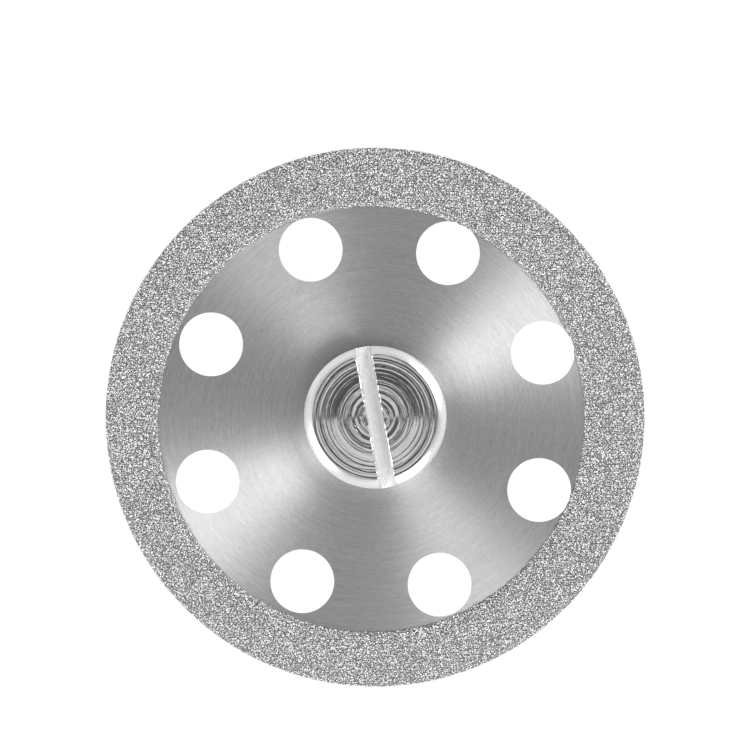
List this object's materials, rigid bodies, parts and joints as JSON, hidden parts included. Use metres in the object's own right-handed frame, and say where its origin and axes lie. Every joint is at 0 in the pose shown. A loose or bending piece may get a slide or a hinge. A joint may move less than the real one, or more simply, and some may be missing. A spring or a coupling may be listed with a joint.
{
  "type": "double-sided diamond disc",
  "caption": "Thin round cutting disc with diamond grit plated over both faces and the edge, vent holes, and a slotted screw that clamps it to a straight shank.",
  "frame": {"origin": "centre of the shank's free end, on the spin axis", "axes": "+Z along the spin axis, from the shank's free end to the slotted screw head; +X and +Y are the right and the top of the disc when the screw head is looked at"},
  "size_m": [0.022, 0.022, 0.0445],
  "materials": {
    "spring_steel": "bright, brushed in circles",
    "diamond_grit": "pale grey grit held in nickel plating, rough and sparkling",
    "turned_steel": "turned, with fine rings on the face and a bright chamfer",
    "shank_steel": "ground and polished"
  },
  "bodies": {
    "root": {"blade": "spring_steel", "diamond_coating": "diamond_grit", "clamp_screw": "turned_steel", "mandrel": "shank_steel"}
  },
  "joints": []
}
